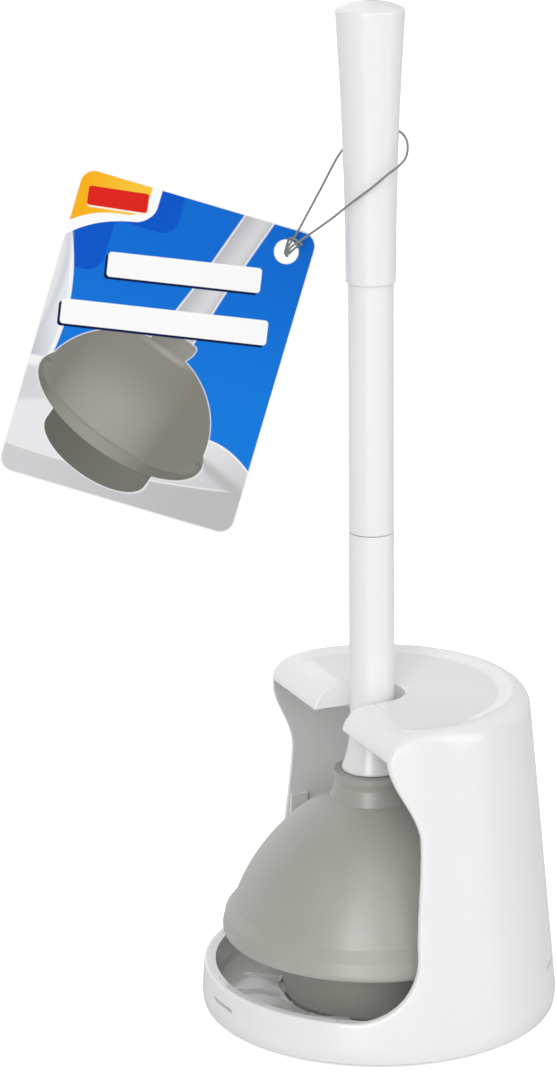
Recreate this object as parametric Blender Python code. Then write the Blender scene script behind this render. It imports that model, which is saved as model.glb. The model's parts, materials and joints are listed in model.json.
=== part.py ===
"""Toilet plunger standing in its caddy, with a hang tag on a string.

Metres, +Z up. The origin is the middle of the caddy's footprint, on the surface it stands on.
The caddy opens towards -Y.
"""

import math

import bmesh
import bpy
from mathutils import Matrix, Vector

MM = 0.001
GAP = 0.3 * MM  # between pieces that touch

# Caddy shell
CONE_R = 83.9 * MM  # outer radius of the tapered side, carried down to z = 0
CONE_SLOPE = 0.0933  # how fast the side narrows with height
WALL = 2.45 * MM
SHELL_Z = 0.8 * MM  # bottom edge, held up by the pads
TUCK_Z = 9 * MM  # the side curves inwards below this
TUCK_R = 81.2 * MM
SHOULDER_R = 62.2 * MM  # centre of the round shoulder
SHOULDER_Z = 145.6 * MM
SHOULDER_ROUND = 8.5 * MM
DISH_R = 58 * MM
DISH_Z = 152.0 * MM
ROOF_UNDER_Z = DISH_Z - 2.3 * MM
RING_IN_R = 79 * MM  # upright inner face of the base ring
RING_IN_TOP_Z = 25 * MM
SHELL_STEPS = 64

# Beyond the caddy, for tools that cut right through it
FAR_FRONT = -110 * MM
FAR_SIDE = 100 * MM
FAR_UP = 180 * MM

# Opening in the shell, drawn in the YZ plane and cut right through along X
RING_TOP_Z = 20.6 * MM
SWEEP_ROUND = 30.5 * MM  # big round from the ring up into the upright edge
SWEEP_Y = -15.5 * MM
WAIST_Y = -12.2 * MM
WAIST_Z = 104 * MM
LIP_Y = -25.2 * MM
LIP_Z = 141 * MM
LIP_WALL = 2.3 * MM
LIP_HOLLOW_Y = -13.5 * MM  # centre of the hollow inside the rolled lip
LIP_HOLLOW_TALL = 8.7 * MM
ROLL_Y = -3 * MM  # where the roll-over leaves the top of the rim
ROLL_TOP_Z = 154.4 * MM

# Slot for the shaft
AXIS_Y = -3 * MM  # the plunger stands this far forward of the caddy's middle
SLOT_HALF = 15.2 * MM
SLOT_WALL = 2.2 * MM

# Snap windows in the shell: direction in degrees, height, width, tallness
WINDOWS = (
    (-86, 12.2 * MM, 18 * MM, 1.8 * MM),
    (56, 23.2 * MM, 20 * MM, 2.6 * MM),
    (124, 23.2 * MM, 20 * MM, 2.6 * MM),
)

# Base tray
TRAY_UNDER_Z = 2 * MM
TRAY_FLOOR_Z = 4.4 * MM
DECK_Z = 5.2 * MM
WELL_R = 47 * MM
TRAY_OUT_R = RING_IN_R - GAP
TRAY_IN_R = 76.5 * MM
TRAY_TOP_Z = 20.2 * MM
RIB_COUNT = 18
RIB_THICK = 2.2 * MM
RIB_START_DEG = -107
ARM_TOP_Z = 78.5 * MM
ARM_THICK = 1.6 * MM
PAD_R = 7 * MM
PAD_RING_R = 60 * MM

# Plunger handle
GRIP_FOOT_Z = 345 * MM
GRIP_EDGE_Z = 464.6 * MM
GRIP_TOP_Z = 470.4 * MM
GRIP_FOOT_R = 11.35 * MM
GRIP_FLARE = 4.05 * MM  # how much wider the grip's top is than its foot
GRIP_BORE_Z = 395 * MM
UPPER_R = 10.25 * MM
LOWER_R = 10.35 * MM
SHAFT_IN_R = 8.75 * MM
SEAM_Z = 229 * MM
FLARE_Z = 115 * MM
FLARE_R = 14.2 * MM
FLARE_RISE = 25 * MM
SHAFT_STEPS = 32

# Threads of the coupler and of the plug
THREAD_PITCH = 5 * MM
THREAD_DEPTH = 0.9 * MM
THREAD_STEPS = 20

# Rubber cup
NECK_TOP_R = 18.3 * MM
NECK_R = 17.3 * MM
NECK_LOW_Z = 85 * MM
NECK_BORE_R = 9.9 * MM
DOME_A = 67.8 * MM  # the dome's outside is a superellipse of this half-width
DOME_B = 72.4 * MM
DOME_POWER = 1.64
DOME_MID_Z = 35.5 * MM
DOME_WALL = 3.6 * MM
DOME_HOLE_R = NECK_R + GAP
DOME_LOW_Z = 50 * MM
RIM_R = 70.3 * MM
WEB_R = 42.6 * MM
FLANGE_R = 42.2 * MM
FLANGE_WALL = 3.2 * MM
FLANGE_LOW_Z = 4.8 * MM
FLANGE_TOP_Z = 40.4 * MM
CUP_STEPS = 48

# Hang tag: a card that faces FACING, leans back and is turned in its own plane
FACING_DEG = 66.7
TAG_WIDE = 110 * MM
TAG_TALL = 141 * MM
TAG_THICK = 0.8 * MM
TAG_CORNER = 7 * MM
TAG_LEAN_DEG = 10.9
TAG_TURN_DEG = 17.1
TAG_ACROSS = -95.7 * MM  # centre, sideways from the plunger's axis
TAG_Z = 313.7 * MM
HOLE_R = 5.1 * MM
HOLE_X = 42.6 * MM
HOLE_Y = 59.4 * MM

STRING_R = 0.55 * MM
# The string's route: sideways, towards FACING, height. It leaves the card's hole, passes behind the
# grip, comes round its right side and crosses in front of it back to the hole.
STRING_ROUTE = [
    (-36.9, -6.6, 359.6),
    (-35.1, -5.2, 362.6),
    (-32.9, -5.0, 366.0),
    (-27.0, -5.2, 376.8),
    (-21.0, -6.2, 387.8),
    (-16.6, -8.2, 395.8),
    (-13.0, -10.6, 401.4),
    (-8.0, -13.4, 405.8),
    (-1.5, -14.6, 409.2),
    (6.0, -13.4, 411.2),
    (11.6, -10.0, 411.4),
    (15.2, -5.0, 409.4),
    (16.4, 0.6, 406.2),
    (15.4, 6.6, 402.2),
    (12.2, 11.0, 399.2),
    (7.0, 13.8, 395.8),
    (0.2, 14.2, 390.2),
    (-8.4, 12.2, 383.4),
    (-17.6, 7.0, 375.0),
    (-26.6, 0.6, 367.2),
    (-33.6, -4.4, 361.4),
    (-35.8, -6.4, 359.2),
]

WHITE = (0.86, 0.86, 0.86)
RUBBER = (0.36, 0.36, 0.33)


def material(name, colour, roughness):
    m = bpy.data.materials.new(name)
    m.use_nodes = True
    m.diffuse_color = (*colour, 1)
    shader = m.node_tree.nodes["Principled BSDF"]
    shader.inputs["Base Color"].default_value = (*colour, 1)
    shader.inputs["Roughness"].default_value = roughness
    shader.inputs["Metallic"].default_value = 0.0
    return m


def add(name, bm, mat=None, smooth_deg=35):
    """A bmesh as an object; with no material it is a helper that only cuts or joins others."""
    bmesh.ops.recalc_face_normals(bm, faces=bm.faces)
    mesh = bpy.data.meshes.new(name)
    bm.to_mesh(mesh)
    bm.free()
    obj = bpy.data.objects.new(name, mesh)
    bpy.context.collection.objects.link(obj)
    if mat:
        mesh.materials.append(mat)
        mesh.shade_smooth()
        mesh.set_sharp_from_angle(angle=math.radians(smooth_deg))
    else:
        obj.hide_render = True
        obj.display_type = "WIRE"
    return obj


def spin(bm, geom, degrees, steps):
    bmesh.ops.spin(
        bm, geom=geom, cent=(0, 0, 0), axis=(0, 0, 1), angle=math.radians(degrees), steps=steps
    )
    bmesh.ops.remove_doubles(bm, verts=bm.verts, dist=1e-6)


def turned(profile, steps, y=0.0):
    """A profile of (radius, height) points turned round a vertical axis through (0, y).

    It closes on itself, unless both its ends lie on the axis.
    """
    bm = bmesh.new()
    verts = [bm.verts.new((r, 0, z)) for r, z in profile]
    on_axis = profile[0][0] == 0 and profile[-1][0] == 0
    pairs = list(zip(verts, verts[1:])) + ([] if on_axis else [(verts[-1], verts[0])])
    edges = [bm.edges.new(pair) for pair in pairs]
    spin(bm, verts + edges, 360, steps)
    bmesh.ops.translate(bm, vec=(0, y, 0), verts=bm.verts)
    return bm


def sector(bm, profile, middle_deg, wide_deg, steps):
    """Adds a profile of (radius, height) points turned through part of a circle."""
    verts = [bm.verts.new((r, 0, z)) for r, z in profile]
    face = bm.faces.new(verts)
    turn = Matrix.Rotation(math.radians(middle_deg - wide_deg / 2), 4, "Z")
    bmesh.ops.transform(bm, matrix=turn, verts=verts)
    bmesh.ops.spin(
        bm,
        geom=[face],
        cent=(0, 0, 0),
        axis=(0, 0, 1),
        angle=math.radians(wide_deg),
        steps=steps,
    )


def prism(outline, direction):
    """An outline of points, extruded along a vector."""
    bm = bmesh.new()
    face = bm.faces.new([bm.verts.new(p) for p in outline])
    extruded = bmesh.ops.extrude_face_region(bm, geom=[face])
    moved = [v for v in extruded["geom"] if isinstance(v, bmesh.types.BMVert)]
    bmesh.ops.translate(bm, vec=direction, verts=moved)
    return bm


def boolean(target, other, operation="DIFFERENCE"):
    m = target.modifiers.new(other.name, "BOOLEAN")
    m.object = other
    m.operation = operation
    m.solver = "EXACT"


def arc(cx, cz, rx, rz, start_deg, end_deg, steps):
    """Points on an ellipse, from one angle to another."""
    turn = [math.radians(start_deg + (end_deg - start_deg) * i / steps) for i in range(steps + 1)]
    return [(cx + rx * math.cos(t), cz + rz * math.sin(t)) for t in turn]


def eased(a, b, steps):
    """Points from a to b, upright at both ends."""
    out = []
    for i in range(1, steps):
        t = i / steps
        out.append((a[0] + (b[0] - a[0]) * t * t * (3 - 2 * t), a[1] + (b[1] - a[1]) * t))
    return out


def cone_r(z):
    return CONE_R - CONE_SLOPE * z


# ---------------------------------------------------------------- caddy


def shell_outside():
    """The shell as a solid lump: tucked-in foot, tapered side, round shoulder and dished top."""
    tuck_x = cone_r(TUCK_Z) - TUCK_R
    tuck_z = TUCK_Z - SHELL_Z
    profile = [(0, SHELL_Z)]
    profile += arc(TUCK_R, TUCK_Z, tuck_x, tuck_z, -90, 0, 4)
    profile += arc(SHOULDER_R, SHOULDER_Z, SHOULDER_ROUND, SHOULDER_ROUND, -5, 90, 7)
    profile += [(DISH_R + 3 * MM, 153.3 * MM), (DISH_R, DISH_Z), (0, DISH_Z)]
    return turned(profile, SHELL_STEPS)


def shell_inside():
    """The hollow of the shell, open at the bottom."""
    corner = 6 * MM
    corner_z = ROOF_UNDER_Z - corner
    corner_r = cone_r(corner_z) - WALL - corner
    profile = [(0, -5 * MM), (RING_IN_R, -5 * MM), (RING_IN_R, RING_IN_TOP_Z)]
    profile += [(cone_r(RING_IN_TOP_Z + MM) - WALL, RING_IN_TOP_Z + MM)]
    profile += arc(corner_r, corner_z, corner, corner, 0, 90, 4) + [(0, ROOF_UNDER_Z)]
    return turned(profile, SHELL_STEPS)


def opening_outline():
    """The cut seen from the side, as (y, z): ring top, sweep, upright edge, lip and roll-over."""
    sweep_z = RING_TOP_Z + SWEEP_ROUND
    sweep_y = SWEEP_Y - SWEEP_ROUND
    line = [(FAR_FRONT, RING_TOP_Z)]
    line += arc(sweep_y, sweep_z, SWEEP_ROUND, SWEEP_ROUND, -90, 0, 9)
    line += eased((SWEEP_Y, sweep_z), (WAIST_Y, WAIST_Z), 4) + [(WAIST_Y, WAIST_Z)]
    line += eased((WAIST_Y, WAIST_Z), (LIP_Y, LIP_Z), 7)
    roll = arc(ROLL_Y, LIP_Z, ROLL_Y - LIP_Y, ROLL_TOP_Z - LIP_Z, 180, 90, 9)
    return line + roll + [(ROLL_Y, FAR_UP), (FAR_FRONT, FAR_UP)]


def slot_outline(half):
    """The slot seen from above: round behind the shaft and open to the front."""
    back = arc(0, AXIS_Y, half, half, 0, 180, 16)
    return [(half, -60 * MM)] + back + [(-half, -60 * MM)]


def holder_shell(mat):
    shell = add("holder_shell", shell_outside(), mat)
    hollow = add("hollow_cut", shell_inside())
    lip_reach = LIP_HOLLOW_Y - LIP_Y - LIP_WALL
    lip_in = arc(LIP_HOLLOW_Y, LIP_Z, lip_reach, LIP_HOLLOW_TALL, 180, 90, 6)
    lip = [(FAR_FRONT, LIP_Z)] + lip_in + [(LIP_HOLLOW_Y, FAR_UP), (FAR_FRONT, FAR_UP)]
    lip_keep = add("lip_keep", prism([(-FAR_SIDE, y, z) for y, z in lip], (2 * FAR_SIDE, 0, 0)))
    skirt = slot_outline(SLOT_HALF + SLOT_WALL)
    skirt_keep = add("slot_keep", prism([(x, y, LIP_Z) for x, y in skirt], (0, 0, 40 * MM)))
    boolean(hollow, lip_keep)
    boolean(hollow, skirt_keep)
    front = prism([(-FAR_SIDE, y, z) for y, z in opening_outline()], (2 * FAR_SIDE, 0, 0))
    slot = prism([(x, y, LIP_Z - 20 * MM) for x, y in slot_outline(SLOT_HALF)], (0, 0, 60 * MM))
    windows = bmesh.new()
    for degrees, z, width, tall in WINDOWS:
        low, high = z - tall / 2, z + tall / 2
        cut = [(RING_IN_R - 4 * MM, low), (90 * MM, low), (90 * MM, high), (RING_IN_R - 4 * MM, high)]
        sector(windows, cut, degrees, math.degrees(width / cone_r(z)), 4)
    boolean(shell, hollow)
    boolean(shell, add("front_cut", front))
    boolean(shell, add("slot_cut", slot))
    boolean(shell, add("window_cut", windows))
    return shell


def rib(bm, degrees):
    """One wave-shaped rib that stands on the tray between its well and its wall."""
    crest = [(-1.2, 4.8), (0.6, 6.4), (2.8, 7.4), (6, 7.3), (11, 6.4), (18, 5.6)]
    line = [(WELL_R + past * MM, z * MM) for past, z in crest]
    foot = 3.4 * MM
    outline = [(r, -RIB_THICK / 2, z) for r, z in [(line[0][0], foot)] + line + [(line[-1][0], foot)]]
    verts = [bm.verts.new(p) for p in outline]
    extruded = bmesh.ops.extrude_face_region(bm, geom=[bm.faces.new(verts)])
    moved = [v for v in extruded["geom"] if isinstance(v, bmesh.types.BMVert)]
    bmesh.ops.translate(bm, vec=(0, RIB_THICK, 0), verts=moved)
    turn = Matrix.Rotation(math.radians(degrees), 4, "Z")
    bmesh.ops.transform(bm, matrix=turn, verts=verts + moved)


def base_tray(mat):
    profile = [
        (0, TRAY_UNDER_Z),
        (TRAY_OUT_R, TRAY_UNDER_Z),
        (TRAY_OUT_R, TRAY_TOP_Z),
        (TRAY_IN_R, TRAY_TOP_Z),
        (TRAY_IN_R, DECK_Z + 3 * MM),
        (TRAY_IN_R - 2.5 * MM, DECK_Z),
        (WELL_R + 1 * MM, DECK_Z),
        (WELL_R, TRAY_FLOOR_Z),
        (0, TRAY_FLOOR_Z),
    ]
    tray = add("base_tray", turned(profile, SHELL_STEPS), mat)
    ribs = bmesh.new()
    for i in range(RIB_COUNT):
        rib(ribs, RIB_START_DEG + 360 / RIB_COUNT * i)
    boolean(tray, add("rib_join", ribs), "UNION")
    extras = bmesh.new()
    lug_out = 2.1 * MM
    for degrees, z, width, tall in WINDOWS:
        low, high = z - tall / 2 + GAP, z + tall / 2 - GAP
        top = max(TRAY_TOP_Z - 2 * MM, high + 1.5 * MM)
        lug = [
            (TRAY_IN_R + 0.4 * MM, TRAY_TOP_Z - 10 * MM),
            (TRAY_OUT_R - 0.1 * MM, TRAY_TOP_Z - 10 * MM),
            (TRAY_OUT_R - 0.1 * MM, low),
            (TRAY_OUT_R + lug_out * 0.8, low),
            (TRAY_OUT_R + lug_out, high),
            (TRAY_OUT_R - 0.1 * MM, high),
            (TRAY_OUT_R - 0.1 * MM, top),
            (TRAY_IN_R + 0.4 * MM, top),
        ]
        sector(extras, lug, degrees, math.degrees((width - 2 * MM) / cone_r(z)), 4)
    for middle in (-6.6, 186.6):
        inset = WALL + GAP + 0.1 * MM
        arm = [
            (TRAY_IN_R + 0.4 * MM, TRAY_TOP_Z - 4 * MM),
            (TRAY_OUT_R - 0.1 * MM, TRAY_TOP_Z - 4 * MM),
            (TRAY_OUT_R - 0.1 * MM, RING_IN_TOP_Z),
            (cone_r(ARM_TOP_Z) - inset, ARM_TOP_Z),
            (cone_r(ARM_TOP_Z) - inset - ARM_THICK, ARM_TOP_Z),
            (TRAY_OUT_R - 0.1 * MM - ARM_THICK, RING_IN_TOP_Z),
        ]
        sector(extras, arm, middle, 7.6, 3)
    boolean(tray, add("extras_join", extras), "UNION")
    return tray


def foot_pads(mat):
    for i in range(4):
        bm = bmesh.new()
        tall = TRAY_UNDER_Z - GAP
        bmesh.ops.create_cone(
            bm, cap_ends=True, segments=20, radius1=PAD_R, radius2=PAD_R - 0.4 * MM, depth=tall
        )
        pad = add(f"foot_pad_{i + 1}", bm, mat)
        turn = math.radians(45 + 90 * i)
        pad.location = (PAD_RING_R * math.cos(turn), PAD_RING_R * math.sin(turn), tall / 2)


# ---------------------------------------------------------------- handle


def grip_radius(z):
    """The grip widens upwards as a parabola."""
    return GRIP_FOOT_R + GRIP_FLARE * ((z - GRIP_FOOT_Z) / (GRIP_EDGE_Z - GRIP_FOOT_Z)) ** 2


def grip(mat):
    bore = UPPER_R + GAP
    cavity = bore - 1.2 * MM
    edge = grip_radius(GRIP_EDGE_Z)
    heights = [GRIP_FOOT_Z + (GRIP_EDGE_Z - GRIP_FOOT_Z) * i / 8 for i in range(9)]
    top = [(edge - 0.35 * MM, 465.7 * MM), (edge - 1.3 * MM, 466.8 * MM)]
    dome = [(r * MM, GRIP_TOP_Z - (3.6 * MM) * (r * MM / edge) ** 2) for r in (11.5, 8, 4, 0)]
    outside = [(grip_radius(z), z) for z in heights]
    inside = [(0, 452 * MM), (cavity, 448 * MM), (cavity, GRIP_BORE_Z + 1.2 * MM)]
    inside += [(bore, GRIP_BORE_Z + 0.3 * MM), (bore, GRIP_FOOT_Z)]
    outside[0] = (outside[0][0], GRIP_FOOT_Z + 0.4 * MM)
    outside.insert(0, (GRIP_FOOT_R - 0.35 * MM, GRIP_FOOT_Z))
    return add("grip", turned(inside + outside + top + dome, SHAFT_STEPS, AXIS_Y), mat)


def upper_shaft(mat):
    low, high = SEAM_Z + GAP / 2, GRIP_BORE_Z
    profile = [(SHAFT_IN_R, high), (UPPER_R, high), (UPPER_R, low), (SHAFT_IN_R, low)]
    return add("upper_shaft", turned(profile, SHAFT_STEPS, AXIS_Y), mat)


def lower_shaft(mat):
    """A tube whose foot flares out in a hollow curve."""
    low, high = FLARE_Z, SEAM_Z - GAP / 2
    out = [(SHAFT_IN_R, high), (LOWER_R, high)]
    for i in range(9):
        t = i / 8
        out.append((LOWER_R + (FLARE_R - LOWER_R) * t**2.6, low + FLARE_RISE * (1 - t) + 0.6 * MM * t))
    out += [(FLARE_R - 0.4 * MM, low), (SHAFT_IN_R, low)]
    return add("lower_shaft", turned(out, SHAFT_STEPS, AXIS_Y), mat)


def threaded(plain_r, plain_low, plain_high, thread_r, thread_low, thread_high):
    """A plug with a plain end pushed into a tube and a threaded end, all on the plunger's axis.

    The thread is a ridge that climbs one pitch for each turn.
    """
    rings = [(plain_r - 0.6 * MM, plain_high, False), (plain_r, plain_high - 0.8 * MM, False)]
    rings += [(plain_r, plain_low, False)]
    count = round((thread_high - thread_low) / (THREAD_PITCH / 4))
    for i in range(count + 1):
        rings.append((thread_r, thread_high + (thread_low - thread_high) * i / count, 0 < i < count))
    bm = bmesh.new()
    rows = []
    for r, z, ridged in rings:
        row = []
        for k in range(THREAD_STEPS):
            turn = 2 * math.pi * k / THREAD_STEPS
            climb = (z / THREAD_PITCH - k / THREAD_STEPS) % 1.0
            ridge = THREAD_DEPTH * max(0.0, 1 - abs(2 * climb - 1) * 1.6) if ridged else 0.0
            row.append(
                bm.verts.new(((r + ridge) * math.cos(turn), (r + ridge) * math.sin(turn) + AXIS_Y, z))
            )
        rows.append(row)
    for a, b in zip(rows, rows[1:]):
        for k in range(THREAD_STEPS):
            n = (k + 1) % THREAD_STEPS
            bm.faces.new((a[k], b[k], b[n], a[n]))
    bm.faces.new(rows[0])
    bm.faces.new(rows[-1])
    return bm


def couplings(mat):
    push = SHAFT_IN_R - GAP
    coupler = threaded(push, SEAM_Z, SEAM_Z + 28 * MM, 7.2 * MM, SEAM_Z - 27 * MM, SEAM_Z - MM)
    add("shaft_coupler", coupler, mat)
    plug = threaded(push, FLARE_Z, FLARE_Z + 32 * MM, 8.4 * MM, 90 * MM, FLARE_Z - MM)
    add("cup_plug", plug, mat)


# ---------------------------------------------------------------- rubber cup


def dome_r(z, inset):
    up = (z - DOME_MID_Z) / (DOME_B - inset)
    return (DOME_A - inset) * (1 - up**DOME_POWER) ** (1 / DOME_POWER)


def cup_neck(mat):
    top = FLARE_Z - GAP
    profile = [
        (0, 88 * MM),
        (NECK_BORE_R - 1 * MM, 88 * MM),
        (NECK_BORE_R, 89 * MM),
        (NECK_BORE_R, top),
        (NECK_TOP_R - 1.2 * MM, top),
        (NECK_TOP_R, top - 1.2 * MM),
        (NECK_TOP_R - 0.2 * MM, top - 4 * MM),
        (NECK_R, 101.5 * MM),
        (NECK_R, NECK_LOW_Z + 2 * MM),
        (NECK_R - 2 * MM, NECK_LOW_Z),
        (0, NECK_LOW_Z),
    ]
    return add("cup_neck", turned(profile, CUP_STEPS // 2, AXIS_Y), mat)


def dome_line(inset, steps):
    """The dome's outline from its hole down to its rim, in even turns round the superellipse."""
    a, b = DOME_A - inset, DOME_B - inset
    start = math.acos((DOME_HOLE_R / a) ** (DOME_POWER / 2))
    end = math.asin(((DOME_LOW_Z - DOME_MID_Z) / b) ** (DOME_POWER / 2))
    turns = [start + (end - start) * i / steps for i in range(steps + 1)]
    power = 2 / DOME_POWER
    return [(a * math.cos(t) ** power, DOME_MID_Z + b * math.sin(t) ** power) for t in turns]


def cup_dome(mat):
    profile = dome_line(0, 9) + dome_line(DOME_WALL, 9)[::-1]
    return add("cup_dome", turned(profile, CUP_STEPS, AXIS_Y), mat)


def cup_rim(mat):
    """The bead round the mouth and the web that carries the flange."""
    top = DOME_LOW_Z - GAP
    profile = [
        (dome_r(DOME_LOW_Z, 0), top),
        (65.4 * MM, 48.9 * MM),
        (67.2 * MM, 46.9 * MM),
        (68.8 * MM, 44.5 * MM),
        (69.6 * MM, 41.8 * MM),
        (RIM_R, 38.8 * MM),
        (69.9 * MM, 37.2 * MM),
        (68.6 * MM, 36.5 * MM),
        (65 * MM, 36.4 * MM),
        (58 * MM, 36.9 * MM),
        (WEB_R, 37.4 * MM),
        (WEB_R, FLANGE_TOP_Z),
        (57 * MM, FLANGE_TOP_Z),
        (60 * MM, 42.4 * MM),
        (dome_r(DOME_LOW_Z, DOME_WALL), top),
    ]
    return add("cup_rim", turned(profile, CUP_STEPS, AXIS_Y), mat)


def cup_flange(mat):
    inner = FLANGE_R - FLANGE_WALL
    profile = [
        (inner, FLANGE_TOP_Z),
        (FLANGE_R, FLANGE_TOP_Z),
        (FLANGE_R, FLANGE_LOW_Z + 2.6 * MM),
        (FLANGE_R - 0.8 * MM, FLANGE_LOW_Z + 0.7 * MM),
        (FLANGE_R - 2.6 * MM, FLANGE_LOW_Z),
        (inner, FLANGE_LOW_Z + 0.6 * MM),
    ]
    return add("cup_flange", turned(profile, CUP_STEPS, AXIS_Y), mat)


# ---------------------------------------------------------------- hang tag


def facing_frame():
    """Sideways, towards and up for something hung on the plunger's axis and facing FACING_DEG."""
    turn = math.radians(FACING_DEG)
    across = Vector((math.cos(turn), math.sin(turn), 0))
    towards = Vector((math.sin(turn), -math.cos(turn), 0))
    return across, towards


def facing_point(u, d, z):
    across, towards = facing_frame()
    return Vector((0, AXIS_Y, z)) + across * u + towards * d


def hang_tag(mat):
    outline = []
    for sx, sy, start in ((1, 1, 0), (-1, 1, 90), (-1, -1, 180), (1, -1, 270)):
        x = sx * (TAG_WIDE / 2 - TAG_CORNER)
        y = sy * (TAG_TALL / 2 - TAG_CORNER)
        outline += arc(x, y, TAG_CORNER, TAG_CORNER, start, start + 90, 5)
    card = prism([(x, y, -TAG_THICK / 2) for x, y in outline], (0, 0, TAG_THICK))
    tag = add("hang_tag", card, mat)
    hole = arc(HOLE_X, HOLE_Y, HOLE_R, HOLE_R, 0, 360 - 18, 19)
    punch = add("punch_cut", prism([(x, y, -5 * MM) for x, y in hole], (0, 0, 10 * MM)))
    boolean(tag, punch)
    across, towards = facing_frame()
    lean = math.radians(TAG_LEAN_DEG)
    up = math.cos(lean) * Vector((0, 0, 1)) - math.sin(lean) * towards
    stand = Matrix((across, up, across.cross(up))).transposed().to_4x4()
    turn = Matrix.Rotation(math.radians(-TAG_TURN_DEG), 4, "Z")
    place = Matrix.Translation(facing_point(TAG_ACROSS, 0, TAG_Z)) @ stand @ turn
    tag.matrix_world = place
    punch.matrix_world = place
    return tag


def smooth_route(points, per_span):
    """A Catmull-Rom curve through the points."""
    ends = [points[0] * 2 - points[1]] + points + [points[-1] * 2 - points[-2]]
    out = []
    for a, b, c, d in zip(ends, ends[1:], ends[2:], ends[3:]):
        for k in range(per_span):
            t = k / per_span
            out.append(
                0.5 * ((2 * b) + (c - a) * t + (2 * a - 5 * b + 4 * c - d) * t**2
                       + (3 * b - 3 * c + d - a) * t**3)
            )
    return out + [points[-1]]


def tag_string(mat):
    route = [facing_point(u * MM, d * MM, z * MM) for u, d, z in STRING_ROUTE]
    line = smooth_route(route, 3)
    curve = bpy.data.curves.new("tag_string", "CURVE")
    curve.dimensions = "3D"
    curve.bevel_depth = STRING_R
    curve.bevel_resolution = 2
    curve.use_fill_caps = True
    spline = curve.splines.new("POLY")
    spline.points.add(len(line) - 1)
    for point, place in zip(spline.points, line):
        point.co = (*place, 1)
    curve.materials.append(mat)
    obj = bpy.data.objects.new("tag_string", curve)
    bpy.context.collection.objects.link(obj)
    return obj


def main():
    for obj in list(bpy.data.objects):
        bpy.data.objects.remove(obj)
    gloss = material("gloss_white", WHITE, 0.16)
    rubber = material("grey_rubber", RUBBER, 0.42)
    pad = material("dark_pad", (0.05, 0.05, 0.05), 0.8)
    plain = material("moulded_grey", (0.5, 0.5, 0.5), 0.5)
    card = material("printed_card", (0.02, 0.14, 0.6), 0.4)
    thread = material("grey_string", (0.2, 0.22, 0.2), 0.7)
    holder_shell(gloss)
    base_tray(gloss)
    foot_pads(pad)
    grip(gloss)
    upper_shaft(gloss)
    lower_shaft(gloss)
    couplings(plain)
    cup_neck(rubber)
    cup_dome(rubber)
    cup_rim(rubber)
    cup_flange(rubber)
    hang_tag(card)
    tag_string(thread)


main()
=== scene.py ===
"""Toilet plunger in its caddy, with a hang tag: the looks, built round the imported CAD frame.

Blender works in metres. The shapes here are written in millimetres, as plain numbers, and turned
into metres where a mesh is made.
"""

import json
import math

import bmesh
import bpy
import numpy as np
from mathutils import Matrix, Vector


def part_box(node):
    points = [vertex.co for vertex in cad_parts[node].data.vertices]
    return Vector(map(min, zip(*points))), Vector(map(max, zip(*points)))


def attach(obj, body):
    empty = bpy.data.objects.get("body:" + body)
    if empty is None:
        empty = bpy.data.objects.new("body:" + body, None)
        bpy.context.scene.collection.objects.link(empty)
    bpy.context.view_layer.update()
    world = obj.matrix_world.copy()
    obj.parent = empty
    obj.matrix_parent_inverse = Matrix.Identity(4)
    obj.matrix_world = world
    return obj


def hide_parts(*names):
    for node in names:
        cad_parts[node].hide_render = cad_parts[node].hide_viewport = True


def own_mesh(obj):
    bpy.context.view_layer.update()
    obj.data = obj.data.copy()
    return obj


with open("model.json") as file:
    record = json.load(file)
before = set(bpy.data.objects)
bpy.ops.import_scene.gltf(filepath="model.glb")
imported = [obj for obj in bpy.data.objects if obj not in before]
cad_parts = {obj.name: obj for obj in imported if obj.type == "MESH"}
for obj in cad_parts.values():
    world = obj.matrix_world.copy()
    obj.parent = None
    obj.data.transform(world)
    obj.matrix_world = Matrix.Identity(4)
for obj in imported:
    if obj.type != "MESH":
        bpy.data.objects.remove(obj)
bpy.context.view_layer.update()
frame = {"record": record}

MM = 0.001


def box_mm(node):
    """A CAD node's lowest and highest corner, in millimetres."""
    low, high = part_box(node)
    return low / MM, high / MM


def radius_of(node):
    low, high = box_mm(node)
    return (high.x - low.x) / 2


AXIS_Y = (box_mm("upper_shaft")[0].y + box_mm("upper_shaft")[1].y) / 2

# ---------------------------------------------------------------- camera

CAMERA_AT = (1.451504, -0.673154, 0.702156)
CAMERA_HEADING_DEG = 66.735
CAMERA_DOWN_DEG = 16.617
CAMERA_ROLL_DEG = -0.592
CAMERA_LENS = 122.16


def make_camera():
    heading = math.radians(CAMERA_HEADING_DEG)
    down = math.radians(CAMERA_DOWN_DEG)
    roll = Matrix.Rotation(math.radians(CAMERA_ROLL_DEG), 3, "Z")
    right = Vector((math.cos(heading), math.sin(heading), 0))
    ahead = Vector((-math.sin(heading), math.cos(heading), 0)) * math.cos(down)
    ahead.z = -math.sin(down)
    turn = Matrix((right, right.cross(ahead), -ahead)).transposed() @ roll
    data = bpy.data.cameras.new("camera")
    data.lens = CAMERA_LENS
    data.clip_end = 20
    camera = bpy.data.objects.new("camera", data)
    bpy.context.collection.objects.link(camera)
    camera.matrix_world = Matrix.Translation(CAMERA_AT) @ turn.to_4x4()
    bpy.context.scene.camera = camera


# ---------------------------------------------------------------- mesh helpers


def new_object(name, verts, faces, normals=None):
    """A mesh object from vertices in millimetres."""
    mesh = bpy.data.meshes.new(name)
    mesh.from_pydata((np.asarray(verts) * MM).tolist(), [], [tuple(f) for f in faces])
    mesh.validate()
    mesh.shade_smooth()
    if normals is not None:
        mesh.normals_split_custom_set_from_vertices(np.asarray(normals).tolist())
    obj = bpy.data.objects.new(name, mesh)
    bpy.context.collection.objects.link(obj)
    return obj


def dress(obj, body, mat, slot, *nodes):
    """Gives a piece its material and the body it rides on, and hides the CAD nodes it stands for."""
    obj.data.materials.clear()
    obj.data.materials.append(mat)
    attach(obj, body)
    if nodes:
        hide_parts(*nodes)
    return obj


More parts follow.
